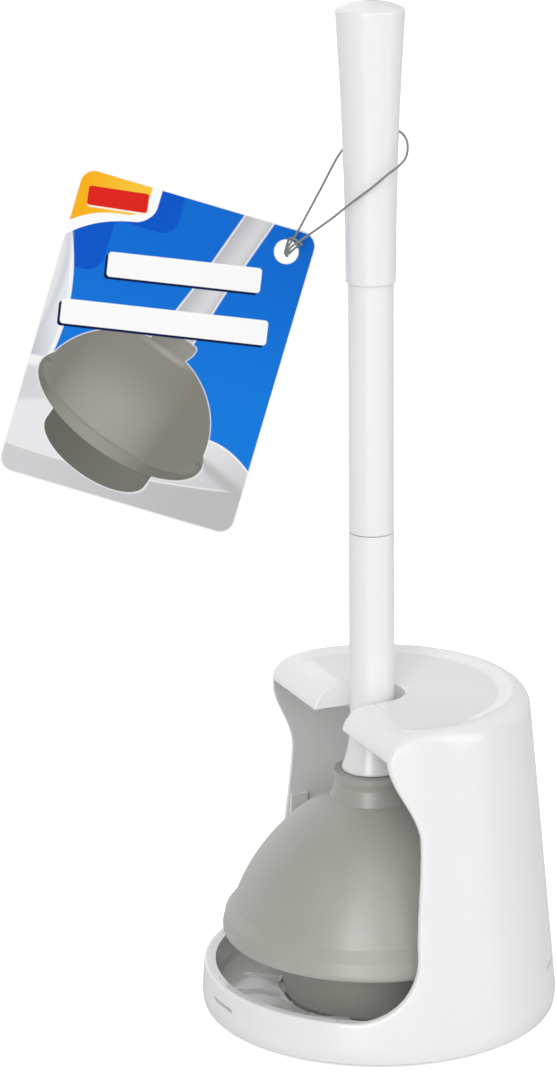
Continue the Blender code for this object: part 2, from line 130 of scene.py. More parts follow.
def rounded(corners, steps=5):
    """A line through corners (radius, height, round); each corner becomes an arc of that round."""
    out = []
    for i, corner in enumerate(corners):
        p = np.array(corner[:2], float)
        turn = corner[2] if len(corner) > 2 else 0
        if not turn:
            out.append(tuple(p))
            continue
        back = np.array(corners[i - 1][:2], float) - p
        on = np.array(corners[(i + 1) % len(corners)][:2], float) - p
        back /= np.linalg.norm(back)
        on /= np.linalg.norm(on)
        half = math.acos(np.clip(back @ on, -1, 1)) / 2
        middle = p + (back + on) / np.linalg.norm(back + on) * turn / math.sin(half)
        start = p + back * turn / math.tan(half) - middle
        end = p + on * turn / math.tan(half) - middle
        sweep = math.pi - 2 * half
        for k in range(steps + 1):
            t = k / steps
            spot = start * math.sin((1 - t) * sweep) + end * math.sin(t * sweep)
            out.append(tuple(middle + spot / math.sin(sweep)))
    return out


def turned(name, profile, steps=160, y=AXIS_Y, x=0.0):
    """A profile of (radius, height) turned round an upright axis, with its own exact normals.

    The profile runs round a closed outline, or from the axis back to the axis.
    """
    line = np.array(profile, float)
    closed = line[0, 0] > 0
    after = np.roll(line, -1, 0) - line
    if not closed:
        after[-1] = after[-2]
    if closed:
        area = np.sum(line[:, 0] * np.roll(line[:, 1], -1) - np.roll(line[:, 0], -1) * line[:, 1])
        way = 1 if area > 0 else -1
    else:
        way = 1 if line[-1, 1] > line[0, 1] else -1
    square = np.stack([after[:, 1], -after[:, 0]], 1) * way
    slopes = square + np.roll(square, 1, 0)
    if not closed:
        slopes[0], slopes[-1] = (0, -way), (0, way)
    slopes /= np.linalg.norm(slopes, axis=1)[:, None]
    turn = 2 * math.pi * np.arange(steps) / steps
    verts, normals, rings = [], [], []
    for (r, z), (out, up) in zip(line, slopes):
        count = 1 if r == 0 else steps
        rings.append((len(verts), count))
        for a in turn[:count]:
            verts.append((x + r * math.cos(a), y + r * math.sin(a), z))
            normals.append((out * math.cos(a), out * math.sin(a), up))
    faces = []
    pairs = list(zip(rings, rings[1:])) + ([(rings[-1], rings[0])] if closed else [])
    for (a, na), (b, nb) in pairs:
        for k in range(steps):
            n = (k + 1) % steps
            face = [a + k, a + n, b + n, b + k] if na > 1 and nb > 1 else None
            if na == 1:
                face = [a, b + n, b + k]
            if nb == 1:
                face = [a + k, a + n, b]
            faces.append(face if way > 0 else face[::-1])
    return new_object(name, verts, faces, normals)


# ---------------------------------------------------------------- shapes given by a distance


def meet(a, b, turn):
    """Where both shapes are; the edge between their surfaces has this round."""
    corner = np.hypot(np.maximum(a + turn, 0), np.maximum(b + turn, 0))
    return np.minimum(np.maximum(a, b), -turn) + corner


def join(a, b, turn):
    """Where either shape is; the hollow corner between them has this round."""
    return -meet(-a, -b, turn)


def cut(a, b, turn):
    """The first shape without the second."""
    return meet(a, -b, turn)


def slopes_of(field, p):
    """The field's value and gradient at points."""
    step = 1e-3
    value = field(*p.T)
    grad = np.empty_like(p)
    for i in range(3):
        ahead, behind = p.copy(), p.copy()
        ahead[:, i] += step
        behind[:, i] -= step
        grad[:, i] = (field(*ahead.T) - field(*behind.T)) / (2 * step)
    return value, grad


def settle(field, p, reach):
    """Moves points onto the surface and returns them with the surface's normals there."""
    for _ in range(4):
        value, grad = slopes_of(field, p)
        size = np.maximum((grad**2).sum(1), 0.05)
        p = p - grad * np.clip(value / size, -reach, reach)[:, None]
    grad = slopes_of(field, p)[1]
    return p, grad / np.maximum(np.linalg.norm(grad, axis=1), 1e-9)[:, None]


def net(field, low, high, cell):
    """Vertices and quads of the surface where the field is zero, one vertex for each grid cell."""
    axes = [np.arange(a, b + cell, cell) for a, b in zip(low, high)]
    level = np.empty([len(a) for a in axes], np.float32)
    for i, x in enumerate(axes[0]):
        level[i] = field(x, axes[1][:, None], axes[2][None, :])
    inside = level < 0
    n = [len(a) - 1 for a in axes]
    corners = [(i, j, k) for i in (0, 1) for j in (0, 1) for k in (0, 1)]
    count = sum(inside[i : i + n[0], j : j + n[1], k : k + n[2]].astype(np.int8) for i, j, k in corners)
    cells = np.argwhere((count > 0) & (count < 8))
    number = np.full(n, -1, np.int32)
    number[tuple(cells.T)] = np.arange(len(cells))
    total, hits = np.zeros((len(cells), 3)), np.zeros(len(cells))
    for a in corners:
        for axis in range(3):
            if a[axis]:
                continue
            b = tuple(c + (i == axis) for i, c in enumerate(a))
            va = level[tuple((cells + a).T)].astype(float)
            vb = level[tuple((cells + b).T)].astype(float)
            crossed = (va < 0) != (vb < 0)
            t = np.where(crossed, va / np.where(crossed, va - vb, 1), 0)
            spot = cells + np.array(a, float)
            spot[:, axis] += t
            total += np.where(crossed[:, None], spot, 0)
            hits += crossed
    verts = np.array(low) + total / hits[:, None] * cell
    quads = []
    for axis in range(3):
        u, v = (axis + 1) % 3, (axis + 2) % 3
        first = [slice(None)] * 3
        second = [slice(None)] * 3
        first[axis], second[axis] = slice(0, -1), slice(1, None)
        edges = np.argwhere(inside[tuple(first)] != inside[tuple(second)])
        edges = edges[(edges[:, u] > 0) & (edges[:, v] > 0)]
        edges = edges[(edges[:, u] < n[u]) & (edges[:, v] < n[v])]
        ring = []
        for du, dv in ((1, 1), (0, 1), (0, 0), (1, 0)):
            at = edges.copy()
            at[:, u] -= du
            at[:, v] -= dv
            ring.append(number[tuple(at.T)])
        quad = np.stack(ring, 1)
        flip = ~inside[tuple(edges.T)]
        quad[flip] = quad[flip][:, ::-1]
        quads.append(quad)
    return verts, np.concatenate(quads)


def thinned(verts, faces, most):
    """The same surface in at most this many triangles; flat stretches lose theirs first."""
    mesh = bpy.data.meshes.new("thin")
    mesh.from_pydata(verts.tolist(), [], faces)
    mesh.calc_loop_triangles()
    obj = bpy.data.objects.new("thin", mesh)
    bpy.context.collection.objects.link(obj)
    thin = obj.modifiers.new("thin", "DECIMATE")
    thin.ratio = min(1, most / len(mesh.loop_triangles))
    done = obj.evaluated_get(bpy.context.evaluated_depsgraph_get()).to_mesh()
    out = np.array([v.co for v in done.vertices])
    kept = [tuple(p.vertices) for p in done.polygons]
    bpy.data.objects.remove(obj)
    bpy.data.meshes.remove(mesh)
    return out, kept


def carved(name, field, low, high, cell, finer=1, sharp_deg=14, most=None):
    """A mesh of the field's surface, made finer where it turns sharply and thinned elsewhere."""
    verts, faces = net(field, low, high, cell)
    faces = faces.tolist()
    verts, normals = settle(field, verts, cell / 2)
    limit = math.cos(math.radians(sharp_deg))
    for _ in range(finer):
        bm = bmesh.new()
        made = [bm.verts.new(v) for v in verts]
        for f in faces:
            bm.faces.new([made[i] for i in f])
        bm.verts.index_update()
        chosen = set()
        for face in bm.faces:
            ids = [v.index for v in face.verts]
            if min(normals[ids[0]] @ normals[i] for i in ids[1:]) < limit:
                chosen.update(face.edges)
        bmesh.ops.subdivide_edges(
            bm, edges=list(chosen), cuts=1, use_grid_fill=True, use_single_edge=True
        )
        bm.verts.index_update()
        verts = np.array([v.co for v in bm.verts])
        faces = [[v.index for v in f.verts] for f in bm.faces]
        bm.free()
        verts, normals = settle(field, verts, cell / 2)
    if most:
        verts, faces = thinned(verts, faces, most)
        verts, normals = settle(field, verts, cell / 2)
    return new_object(name, verts, faces, normals)


# ---------------------------------------------------------------- shader helpers


class Shader:
    """A material's node tree, with short calls for the nodes used here."""

    def __init__(self, name):
        self.material = bpy.data.materials.new(name)
        self.material.use_nodes = True
        self.tree = self.material.node_tree
        self.surface = self.tree.nodes["Principled BSDF"]
        self.place = self.node("ShaderNodeTexCoord").outputs["Object"]

    def node(self, kind, **settings):
        made = self.tree.nodes.new(kind)
        for key, value in settings.items():
            setattr(made, key, value)
        return made

    def feed(self, target, source):
        """Joins a socket to a value, a colour or another socket."""
        if isinstance(source, Number):
            source = source.socket
        if isinstance(source, bpy.types.NodeSocket):
            self.tree.links.new(source, target)
        elif isinstance(source, tuple) and len(source) == 3 and target.type == "RGBA":
            target.default_value = (*source, 1)
        else:
            target.default_value = source

    def set(self, **inputs):
        for key, value in inputs.items():
            self.feed(self.surface.inputs[key.replace("_", " ")], value)
        return self

    def noise(self, scale, detail=2.0, roughness=0.5, stretch=(1, 1, 1)):
        spread = self.node("ShaderNodeMapping")
        self.feed(spread.inputs["Vector"], self.place)
        spread.inputs["Scale"].default_value = stretch
        made = self.node("ShaderNodeTexNoise")
        self.feed(made.inputs["Vector"], spread.outputs["Vector"])
        made.inputs["Scale"].default_value = scale
        made.inputs["Detail"].default_value = detail
        made.inputs["Roughness"].default_value = roughness
        return Number(self, made.outputs["Fac"])

    def mix(self, share, a, b):
        made = self.node("ShaderNodeMix", data_type="RGBA")
        self.feed(made.inputs[0], share)
        self.feed(made.inputs[6], a)
        self.feed(made.inputs[7], b)
        return made.outputs[2]

    def bump(self, height, depth, strength=1.0):
        """A bump of this depth in metres."""
        made = self.node("ShaderNodeBump")
        self.feed(made.inputs["Height"], height)
        made.inputs["Distance"].default_value = depth
        made.inputs["Strength"].default_value = strength
        self.feed(self.surface.inputs["Normal"], made.outputs["Normal"])

    def axes_mm(self):
        """The piece's own x, y and z, in millimetres."""
        parts = self.node("ShaderNodeSeparateXYZ")
        self.feed(parts.inputs[0], self.place)
        return [Number(self, parts.outputs[i]) * (1 / MM) for i in range(3)]


class Number:
    """A value in a node tree, so that formulas can be written as in Python."""

    def __init__(self, shader, socket):
        self.shader = shader
        self.socket = socket

    def math(self, operation, *others, clamp=False):
        made = self.shader.node("ShaderNodeMath", operation=operation, use_clamp=clamp)
        for slot, value in zip(made.inputs, (self, *others)):
            self.shader.feed(slot, value)
        return Number(self.shader, made.outputs[0])

    def __add__(self, other):
        return self.math("ADD", other)

    def __sub__(self, other):
        return self.math("SUBTRACT", other)

    def __mul__(self, other):
        return self.math("MULTIPLY", other)

    def __neg__(self):
        return self.math("MULTIPLY", -1.0)

    def low(self, other):
        return self.math("MINIMUM", other)

    def high(self, other):
        return self.math("MAXIMUM", other)

    def squared(self):
        return self.math("MULTIPLY", self)

    def root(self):
        return self.math("SQRT")

    def size(self):
        return self.math("ABSOLUTE")

    def step(self, start, end):
        """0 before start and 1 after end, with a soft change between them."""
        made = self.shader.node("ShaderNodeMapRange", interpolation_type="SMOOTHSTEP")
        self.shader.feed(made.inputs["Value"], self)
        made.inputs["From Min"].default_value = start
        made.inputs["From Max"].default_value = end
        return Number(self.shader, made.outputs["Result"])


# ---------------------------------------------------------------- materials


def gloss_plastic(name, colour, roughness):
    """Moulded gloss plastic: a faint unevenness in tone, gloss and surface, as off a mould."""
    s = Shader(name)
    cloud = s.noise(9, 3)
    fine = s.noise(420, 2, 0.6)
    dull = tuple(c * 0.975 for c in colour)
    s.set(
        Base_Color=s.mix(cloud.step(0.3, 0.7), colour, dull),
        Roughness=cloud * 0.05 + (fine * 0.03 + (roughness - 0.04)),
        IOR=1.5,
        Coat_Weight=0.5,
        Coat_Roughness=0.05,
        Subsurface_Weight=0.06,
        Subsurface_Scale=0.002,
        Subsurface_Radius=(1.0, 0.9, 0.8),
    )
    s.bump(s.noise(55, 2), 0.00003, 0.5)
    return s.material


def satin_rubber(name, colour):
    """Moulded rubber: satin, with a fine grain and a trace of bloom."""
    s = Shader(name)
    cloud = s.noise(14, 4, 0.6)
    grain = s.noise(1500, 2, 0.6)
    bloom = tuple(min(1, c * 1.10 + 0.004) for c in colour)
    s.set(
        Base_Color=s.mix(cloud.step(0.35, 0.75), colour, bloom),
        Roughness=cloud * 0.06 + (grain * 0.05 + 0.27),
        IOR=1.5,
        Specular_IOR_Level=0.8,
        Sheen_Weight=0.05,
        Sheen_Roughness=0.5,
    )
    s.bump(grain * 0.5 + s.noise(120, 2) * 0.5, 0.00006, 0.5)
    return s.material


def plain_plastic(name, colour):
    s = Shader(name)
    cloud = s.noise(60, 3)
    s.set(Base_Color=s.mix(cloud, colour, tuple(c * 0.9 for c in colour)), Roughness=cloud * 0.1 + 0.4)
    s.bump(s.noise(700, 2), 0.00004, 0.5)
    return s.material


def pad_foam(name):
    s = Shader(name)
    cells = s.noise(1100, 3, 0.7)
    s.set(Base_Color=s.mix(cells, (0.03, 0.03, 0.03), (0.07, 0.07, 0.07)), Roughness=0.85)
    s.bump(cells, 0.00015)
    return s.material


def twine(name):
    """Twisted synthetic string; the strands themselves are in the mesh."""
    s = Shader(name)
    fibres = s.noise(2600, 3, 0.7, (1, 1, 0.25))
    s.set(
        Base_Color=s.mix(fibres, (0.16, 0.18, 0.17), (0.27, 0.29, 0.28)),
        Roughness=0.62,
        Sheen_Weight=0.2,
    )
    s.bump(fibres, 0.00008, 0.8)
    return s.material


def floor_white(name):
    s = Shader(name)
    haze = s.noise(3, 2)
    s.set(
        Base_Color=(0.8, 0.8, 0.8),
        Roughness=haze * 0.05 + 0.10,
        IOR=1.35,
        Emission_Color=(1, 1, 1),
        Emission_Strength=Number(s, s.node("ShaderNodeLightPath").outputs["Is Camera Ray"]) * 0.6,
    )
    return s.material


# ---------------------------------------------------------------- the card's print


def ink(code):
    """A linear colour from its usual six-digit code."""
    parts = [int(code[i : i + 2], 16) / 255 for i in (0, 2, 4)]
    return tuple(c / 12.92 if c <= 0.04045 else ((c + 0.055) / 1.055) ** 2.4 for c in parts)


class Print:
    """Flat shapes laid over each other on the card, in its own millimetres from its middle."""

    def __init__(self, shader, colour):
        self.s = shader
        self.x, self.y, self.z = shader.axes_mm()
        self.colour = colour

    def lay(self, colour, distance, soft=0.12):
        """Paints a colour where the distance is below zero."""
        self.colour = self.s.mix(distance.step(soft, -soft), self.colour, colour)

    def blend(self, share, a, b):
        return self.s.mix(share, a, b)

    def turned(self, at, degrees):
        """Coordinates from a point, with the first axis turned up by this many degrees."""
        c, n = math.cos(math.radians(degrees)), math.sin(math.radians(degrees))
        across, up = self.x - at[0], self.y - at[1]
        return across * c + up * n, up * c - across * n

    def bar(self, at, degrees, half_long, half_wide, corner):
        u, v = self.turned(at, degrees)
        u = (u.size() - (half_long - corner)).high(0)
        v = (v.size() - (half_wide - corner)).high(0)
        return (u.squared() + v.squared()).root() - corner

    def oval(self, at, degrees, half_long, half_wide):
        u, v = self.turned(at, degrees)
        u, v = u * (1 / half_long), v * (1 / half_wide)
        return ((u.squared() + v.squared()).root() - 1) * min(half_long, half_wide)

    def corner(self, a, b, turn):
        """Where both are below zero, with a rounded corner."""
        out = ((a + turn).high(0).squared() + (b + turn).high(0).squared()).root()
        return a.high(b).low(-turn) + out


def print_backdrop(art):
    """Blue with a darker flow of colour, and the pale bowl at the left and below."""
    x, y = art.x, art.y
    blue = art.blend(y.step(60, -34), ink("0A6DD6"), ink("0F7CE0"))
    art.lay(blue, y * 0 - 1)
    flow_top = art.corner(x + 7.2, -y + 51.4, 7.5)
    flow_side = art.corner(x + 34.6, -y + 26.2, 8.5)
    art.lay(ink("0057CC"), flow_top.math("SMOOTH_MIN", flow_side, 6.0), 0.3)

    edge = (y - 2).squared() * -0.0053 - 43.5
    bowl = x - edge
    lower = (x - 32).high(0).squared() * -0.0178 - 31.3
    ledge = y - lower
    shade = art.blend((x + y * 0.25).step(-62, -44), ink("BFC3CB"), ink("E9EBEF"))
    art.lay(shade, bowl)
    art.lay(ink("F7F8FA"), (bowl + 1.1).size() - 0.9, 0.35)
    art.lay(ink("D4D7DC"), art.oval((-62, 12), 84, 36, 12.5), 1.2)
    art.lay(ink("E7E8EB"), art.oval((-62, 12), 84, 33, 10), 1.2)
    pale = art.blend((y * 0.7 - x * 0.3).step(-58, -26), ink("C9CACD"), ink("ECECEE"))
    art.lay(pale, ledge)
    art.lay(ink("F4F4F5"), (ledge + 0.5).size() - 0.5, 0.3)
    art.lay(ink("F6F6F7"), art.oval((-58, -26), 12, 22, 8.5), 0.8)
    art.lay(ink("D9DADD"), art.oval((-60, -31), 12, 26, 8.2), 1.5)
    step = y * -1 - 59 + (x + 30).squared() * 0.0012
    art.lay(art.blend(x.step(-52, 40), ink("D3D3D5"), ink("C0C0C2")), -step, 0.4)
    art.lay(ink("EDEDEE"), (step + 0.5).size() - 0.35, 0.3)
    art.lay(ink("BDBDBF"), art.oval((46, -48), -24, 24, 2.4), 2.0)


def print_badge(art):
    """The corner badge: warm yellow with a white swoosh, and a plain red bar for its word."""
    x, y = art.x, art.y
    u = (x + 20).high(-60) * -1
    u = u.high(0)
    low = u * -0.184 + u.squared() * u * -0.000219 + 54
    art.lay(ink("FFFFFF"), art.corner(low - y, x + 18, 8))
    lift = (x * -1 - 30).high(0) * 0.15 + 3
    warm = art.blend(x.step(-55, -25), ink("FDB415"), ink("FFC93A"))
    art.lay(warm, art.corner(low + lift - y, x + 22.6, 7))
    art.lay(ink("FFF6E4"), art.bar((-35.6, 59.6), 8, 13.6, 4.3, 1.2))
    art.lay(ink("E2231A"), art.bar((-36.0, 60.4), 8, 13.6, 4.3, 1.2))


PRINT_RIM_AT = (-7.7, -32.0)
PRINT_LEAN_DEG = -18.6  # the printed cup's rim slopes down to the right by this much


def print_plunger(art):
    """A grey plunger that leans to the right, drawn in the rim's own axes."""
    u, v = art.turned(PRINT_RIM_AT, PRINT_LEAN_DEG)
    side_out = (u * -1 + 0.6).size() - (v.step(74, 44) * 1.2 + 6.3)
    handle = art.corner(side_out, v * -1 + 40, 0.5)
    roll = (u - 0.6).step(-6.5, 2) * (u - 1).step(7.5, 2.5)
    stem = art.blend(roll, ink("BFBFC3"), ink("DADADC"))
    lower_side = v.step(54, 40)
    stem = art.blend(lower_side * 0.5, stem, ink("C9C9CC"))

    neck_side = (u - 0.4).size() - (v.step(36, 41) * 1.3 + 9.3)
    neck = art.corner(neck_side, v - 44.4, 1.5)
    neck = art.corner(neck, v * -1 + 33, 0.5)
    rim = art.oval(PRINT_RIM_AT, PRINT_LEAN_DEG, 43.2, 18.6)
    dome_round = ((u * (1 / 41.2)).squared() + (v * (1 / 37.4)).squared()).root() * 37.4 - 37.4
    dome = art.corner(dome_round, v * -1, 0.2)
    bead = art.corner(rim, v - 4.6, 3)
    skirt_low = ((u * (1 / 26.8)).squared() + ((v + 20) * (1 / 11.8)).squared()).root() * 11.8 - 11.8
    skirt_side = art.corner(u.size() - 26.8, (v + 20) * -1, 0.2)
    skirt = skirt_low.low(art.corner(skirt_side, v, 1))
    cup = dome.low(bead).low(neck)
    art.lay(ink("F2F3F5"), handle.low(cup).low(skirt) - 0.35, 0.4)
    art.lay(ink("F6F6F8"), handle)
    art.lay(stem, handle + 0.35, 0.3)

    dusk = art.blend(u.step(-24, 20), ink("67675F"), ink("777670"))
    dusk = art.blend((v + 17).step(-1, 5) * 0.6, dusk, ink("55554F"))
    art.lay(dusk, skirt)
    turn = (u + 6) * (1 / 34)
    light = (turn.squared() * -1.6 + 1).high(0)
    low_light = (v * -1 + 24).step(-4, 26)
    grey = art.blend(light * (low_light * 0.75 + 0.25), ink("85847B"), ink("A5A49C"))
    art.lay(grey, dome.low(rim))
    art.lay(art.blend(u.step(-10, 10), ink("86857D"), ink("96958D")), neck, 0.3)
    art.lay(ink("A9A8A0"), art.oval((4.6, 0.4), PRINT_LEAN_DEG, 9.5, 1.2), 1.2)
    inner = ((u * (1 / 40.6)).squared() + (v * (1 / 12.6)).squared()).root() * 12.6 - 12.6
    band = art.corner(bead, inner * -1, 0.2)
    band = art.corner(band, v - 3, 1)
    rim_grey = art.blend((turn.squared() * -1.3 + 1).high(0), ink("78776F"), ink("9C9B93"))
    art.lay(rim_grey, band, 0.35)
    art.lay(ink("8A8980"), art.corner(inner.size() - 0.35, v - 1, 0.2), 0.5)


def print_bars(art):
    """Two plain white bars with dark blue shadows, where a label would carry its heading."""
    for at, half_long in (((1.5, 37.6), 34.5), ((-1.0, 13.8), 46.5)):
        shadow = (at[0] - 0.9, at[1] - 1.3)
        art.lay(ink("06184A"), art.bar(shadow, 10.2, half_long, 5.6, 1.6))
        art.lay(ink("FFFFFF"), art.bar(at, 10.2, half_long, 5.6, 1.6))


def printed_card(name):
    """Coated card: printed on the front, plain on the back."""
    s = Shader(name)
    art = Print(s, ink("FDFDFD"))
    print_backdrop(art)
    print_badge(art)
    print_plunger(art)
    print_bars(art)
    border = art.bar((0, 0), 0, TAG_WIDE / 2 - 0.8, TAG_TALL / 2 - 0.8, TAG_CORNER - 0.8)
    hole = ((art.x - HOLE_X).squared() + (art.y - HOLE_Y).squared()).root()
    art.lay(ink("FDFDFD"), border * -1)
    art.lay(ink("F4F4F6"), hole - HOLE_R - 0.5)
    fibre = s.noise(900, 3, 0.7)
    back = s.mix(fibre, ink("F3F3F2"), ink("ECECEA"))
    front = art.z.step(-0.1, 0.1)
    s.set(
        Base_Color=s.mix(0.1, s.mix(front, back, art.colour), (0, 0, 0)),
        Roughness=front * -0.25 + (fibre * 0.06 + 0.6),
        Specular_IOR_Level=0.05,
        IOR=1.45,
    )
    s.bump(fibre * 0.5 + s.noise(90, 2) * 0.5, 0.00003, 0.4)
    return s.material


# ---------------------------------------------------------------- caddy

CONE_R = 83.9
CONE_SLOPE = 0.0933
WALL = 2.45
SHELL_FOOT = box_mm("holder_shell")[0].z
CREST_Z = 154.1
SHOULDER_ROUND = 8.5
DISH_R = 58.4
DISH_Z = 152.0
DISH_SPREAD = 1.45  # how far the dish's side leans out for each millimetre up
ROOF_UNDER_Z = 149.7
RING_IN_R = 79.0
TUCK_Z = 9.0
TUCK_IN = 1.5
RING_TOP_Z = 20.6
RING_CAP_R = 76.5
RING_CAP_Z = 17.0
SWEEP_ROUND = 30.5
SWEEP_Y = -15.5
WAIST_Y = -12.2
WAIST_Z = 104.0
LIP_Y = -25.2
LIP_Z = 141.0
LIP_WALL = 2.3
LIP_HOLLOW_Y = -13.5
ROLL_Y = -3.0
ROLL_TOP_Z = 154.4
SLOT_HALF = 15.2
SLOT_WALL = 2.2
# Snap windows: direction in degrees, height, width and tallness
WINDOWS = ((-86, 12.2, 18, 1.4), (56, 23.2, 20, 2.6), (124, 23.2, 20, 2.6))

LEAN = 1 / math.hypot(1, CONE_SLOPE)


def side(r, z, inset=0.0):
    """Distance outside the tapered side, moved in by inset."""
    return (r - (CONE_R - inset - CONE_SLOPE * z)) * LEAN


def oval(y, z, centre_y, centre_z, wide, tall):
    """Distance outside an ellipse, to the first order."""
    u, v = (y - centre_y) / wide, (z - centre_z) / tall
    size = np.sqrt(u * u + v * v) + 1e-9
    slope = np.hypot(u / wide, v / tall) / size + 1e-9
    return (size - 1) / slope


def eased(z, low, high, start, end):
    """A value that goes from start to end between two heights, and its slope."""
    t = np.clip((z - low) / (high - low), 0, 1)
    return start + (end - start) * t * t * (3 - 2 * t), (end - start) * 6 * t * (1 - t) / (high - low)


def opening(y, z):
    """Inside, below zero, is what the front opening takes away."""
    low_y, low_slope = eased(z, RING_TOP_Z + SWEEP_ROUND, WAIST_Z, SWEEP_Y, WAIST_Y)
    high_y, high_slope = eased(z, WAIST_Z, LIP_Z, WAIST_Y, LIP_Y)
    edge = np.where(z < WAIST_Z, low_y, high_y)
    slope = np.where(z < WAIST_Z, low_slope, high_slope)
    below = meet(RING_TOP_Z - z, (y - edge) / np.hypot(1, slope), SWEEP_ROUND)
    roll = -oval(y, z, ROLL_Y, LIP_Z, ROLL_Y - LIP_Y, ROLL_TOP_Z - LIP_Z)
    above = np.where(y < ROLL_Y, roll, ROLL_TOP_Z - z)
    return np.where(z < LIP_Z, below, above)


def slot_distance(x, y):
    """Distance from the slot's middle line, which ends on the shaft's axis."""
    return np.where(y < AXIS_Y, np.abs(x), np.hypot(x, y - AXIS_Y))


def window_boxes(x, y, z):
    """Inside the snap windows."""
    out = 1e3
    for degrees, height, width, tall in WINDOWS:
        turn = math.radians(degrees)
        across = np.abs(y * math.cos(turn) - x * math.sin(turn)) - width / 2
        near = 60 - (x * math.cos(turn) + y * math.sin(turn))
        up = np.abs(z - height) - tall / 2
        out = np.minimum(out, np.maximum(meet(across, up, tall * 0.45), near))
    return out


def shell_field(x, y, z):
    r = np.hypot(x, y)
    tuck = TUCK_IN * np.clip((TUCK_Z - z) / (TUCK_Z - SHELL_FOOT), 0, 1) ** 2
    outside = meet(side(r, z) + tuck, SHELL_FOOT - z, 1.0)
    outside = meet(outside, z - CREST_Z, SHOULDER_ROUND)
    lean = (r - DISH_R - (z - DISH_Z) * DISH_SPREAD) / math.hypot(1, DISH_SPREAD)
    outside = cut(outside, meet(lean, DISH_Z - z, 2.0), 1.4)

    soft_low = np.clip((38 - z) / 12, 0, 1)
    soft_high = np.clip((z - 126) / 14, 0, 1)
    edge_round = 0.95 + 0.35 * soft_low + 0.85 * soft_high
    outside = cut(outside, opening(y, z), edge_round)
    across = slot_distance(x, y)
    outside = cut(outside, meet(across - SLOT_HALF, LIP_Z - 20 - z, 0.1), 0.9)

    hollow = meet(side(r, z, WALL), r - RING_IN_R, 2.0)
    hollow = meet(hollow, z - ROOF_UNDER_Z, 6.0)
    cap = np.abs(z - (RING_TOP_Z + RING_CAP_Z) / 2) - (RING_TOP_Z - RING_CAP_Z) / 2
    cap = np.maximum(RING_CAP_R - r, cap)
    hollow = np.maximum(hollow, -cap)
    lip_in = oval(
        y, z, LIP_HOLLOW_Y, LIP_Z, LIP_HOLLOW_Y - LIP_Y - LIP_WALL, ROOF_UNDER_Z - LIP_Z
    )
    lip_in = np.where(y < LIP_HOLLOW_Y, lip_in, z - ROOF_UNDER_Z)
    keep = np.maximum(LIP_Z - z, -lip_in)
    keep = np.minimum(keep, np.maximum(LIP_Z - z, across - SLOT_HALF - SLOT_WALL))
    solid = cut(outside, np.maximum(hollow, -keep), 0.4)
    return cut(solid, window_boxes(x, y, z), 0.35)


def caddy_shell(mat):
    low, high = box_mm("holder_shell")
    cell = 0.9
    reach = Vector((2.3, 2.3, 2.3))
    obj = carved("caddy_shell", shell_field, low - reach, high + reach, cell, 1, 16, 180000)
    return dress(obj, "holder", mat, "caddy_plastic", "holder_shell")


TRAY_UNDER_Z = box_mm("base_tray")[0].z
TRAY_FLOOR_Z = 4.4
DECK_Z = 5.2
WELL_R = 47.0
TRAY_OUT_R = RING_IN_R - 0.3
TRAY_IN_R = 76.5
TRAY_TOP_Z = RING_CAP_Z - 0.3
RIB_COUNT = 18
RIB_THICK = 2.0
RIB_START_DEG = -107
# Every third rib stands up in a wave, and runs round the well with a falling crest
TALL_EVERY = 3
# A tall rib's crest: how far past the well, and how high
RIB_CREST = ((-1.5, 7.0), (0.6, 8.1), (4.2, 8.2), (7.4, 6.8), (13.5, 5.3), (18, 5.1))
LOW_CREST = 5.5
DAM_R = 46.2
DAM_THICK = 1.6
DAM_FALL_DEG = 27
ARM_TOP_Z = box_mm("base_tray")[1].z
ARM_THICK = 1.6
ARMS_DEG = (-6.6, 186.6)
ARM_WIDE_DEG = 7.6


